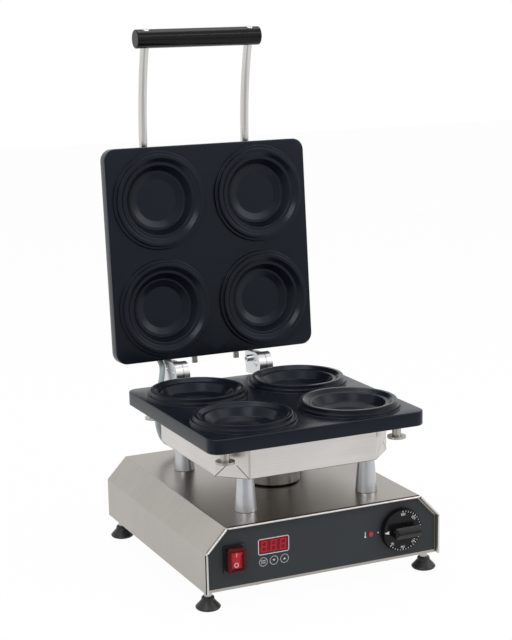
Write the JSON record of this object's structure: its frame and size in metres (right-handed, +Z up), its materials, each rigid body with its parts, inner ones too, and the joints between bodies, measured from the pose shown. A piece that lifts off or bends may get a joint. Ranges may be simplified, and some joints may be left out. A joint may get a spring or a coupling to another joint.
{
  "type": "jaffle maker",
  "caption": "Table-top baking unit: hinged heated lid and tray carry stepped round pie moulds above a low control housing on feet.",
  "frame": {"origin": "on the table plane, below the middle of the bounding box of the unit with its lid open", "axes": "+X to the right of a person at the controls, +Y to the back, +Z up"},
  "size_m": [0.3415, 0.4406, 0.7035],
  "materials": {
    "stainless": "brushed stainless sheet, fine straight grain",
    "fascia_film": "matt anthracite printed film",
    "zinc_steel": "zinc-plated or plain turned steel",
    "plate_coating": "cast aluminium with a blue-black non-stick coating, semi-matt with a fine speckle",
    "cast_aluminium": "rough cast",
    "turned_aluminium": "turned and polished, fine lathe rings",
    "hinge_aluminium": "bright ground aluminium",
    "element_steel": "heat-tinted tube",
    "ceramic_wool": "soft fibrous mat",
    "rod_steel": "polished stainless bar",
    "grip_plastic": "glossy black",
    "foot_plastic": "moulded black",
    "black_plastic": "moulded black",
    "knob_plastic": "satin black with white dial print",
    "rocker_red": "glossy red with white marks",
    "cover_clear": "clear soft plastic, tinted red",
    "window_red": "smoked dark red window",
    "key_dark": "matt film key with a light ring",
    "lamp_red": "red lens",
    "brass_parts": "plain metal",
    "thermostat_case": "cream moulding",
    "circuit_board": "green board",
    "terminal_plastic": "cream moulding",
    "grommet_rubber": "black rubber",
    "lead_sleeve": "pale grey-green glass-fibre sleeve"
  },
  "bodies": {
    "base": {"back_panel": "stainless", "base_floor": "stainless", "base_grommet": "grommet_rubber", "base_hood": "stainless", "cable_duct": "stainless", "cable_gland": "black_plastic", "capillary_bulb": "brass_parts", "column_back_left": "turned_aluminium", "column_back_right": "turned_aluminium", "column_bolts": "zinc_steel", "column_front_left": "turned_aluminium", "column_front_right": "turned_aluminium", "display_module": "black_plastic", "display_window": "window_red", "flange_screws": "zinc_steel", "foot_back_left": "foot_plastic", "foot_back_right": "foot_plastic", "foot_front_left": "foot_plastic", "foot_front_right": "foot_plastic", "foot_studs": "zinc_steel", "front_fascia": "fascia_film", "front_panel": "stainless", "heat_lamp": "lamp_red", "hinge_bracket_left": "hinge_aluminium", "hinge_bracket_right": "hinge_aluminium", "hinge_pins": "zinc_steel", "housing_screws": "zinc_steel", "lid_lead": "lead_sleeve", "lower_baking_plate": "plate_coating", "lower_heater_plate": "cast_aluminium", "lower_heating_element": "element_steel", "lower_insulation": "ceramic_wool", "lower_plate_fixings": "zinc_steel", "lower_tray": "stainless", "power_relay": "black_plastic", "switch_cover": "cover_clear", "switch_housing": "black_plastic", "terminal_block": "terminal_plastic", "thermostat_body": "thermostat_case", "timer_board": "circuit_board"},
    "lid": {"lid_tray": "stainless", "lid_insulation": "ceramic_wool", "lid_heating_element": "element_steel", "lid_heater_plate": "cast_aluminium", "upper_baking_plate": "plate_coating", "upper_plate_fixings": "zinc_steel", "hinge_arm_left": "hinge_aluminium", "hinge_arm_right": "hinge_aluminium", "lid_fasteners": "zinc_steel", "lid_grommet": "grommet_rubber", "handle_rod_left": "rod_steel", "handle_rod_right": "rod_steel", "handle_grip": "grip_plastic", "handle_screws": "zinc_steel"},
    "rocker": {"power_rocker": "rocker_red"},
    "thermostat_dial": {"thermostat_knob": "knob_plastic", "thermostat_shaft": "brass_parts"},
    "start_key": {"key_start": "key_dark"},
    "down_key": {"key_down": "key_dark"},
    "up_key": {"key_up": "key_dark"}
  },
  "joints": [
    {"name": "lid_hinge", "type": "hinge", "parent": "base", "child": "lid", "pos_m": [0, 0.1214, 0.2283], "axis": [1, 0, 0], "range_deg": [0, 94.35], "deforming": ["lid_lead"]},
    {"name": "power_rocker_tilt", "type": "hinge", "parent": "base", "child": "rocker", "pos_m": [-0.126, -0.2025, 0.067], "axis": [1, 0, 0], "range_deg": [-9, 0]},
    {"name": "thermostat_turn", "type": "hinge", "parent": "base", "child": "thermostat_dial", "pos_m": [0.1085, -0.2039, 0.0674], "axis": [0, 1, 0], "range_deg": [0, 270]},
    {"name": "start_key_press", "type": "slide", "parent": "base", "child": "start_key", "axis": [0, 1, 0], "range_m": [0, 0.0005], "stiffness_N_per_m": 500, "springref_m": -0.0006},
    {"name": "down_key_press", "type": "slide", "parent": "base", "child": "down_key", "axis": [0, 1, 0], "range_m": [0, 0.0005], "stiffness_N_per_m": 500, "springref_m": -0.0006},
    {"name": "up_key_press", "type": "slide", "parent": "base", "child": "up_key", "axis": [0, 1, 0], "range_m": [0, 0.0005], "stiffness_N_per_m": 500, "springref_m": -0.0006}
  ]
}
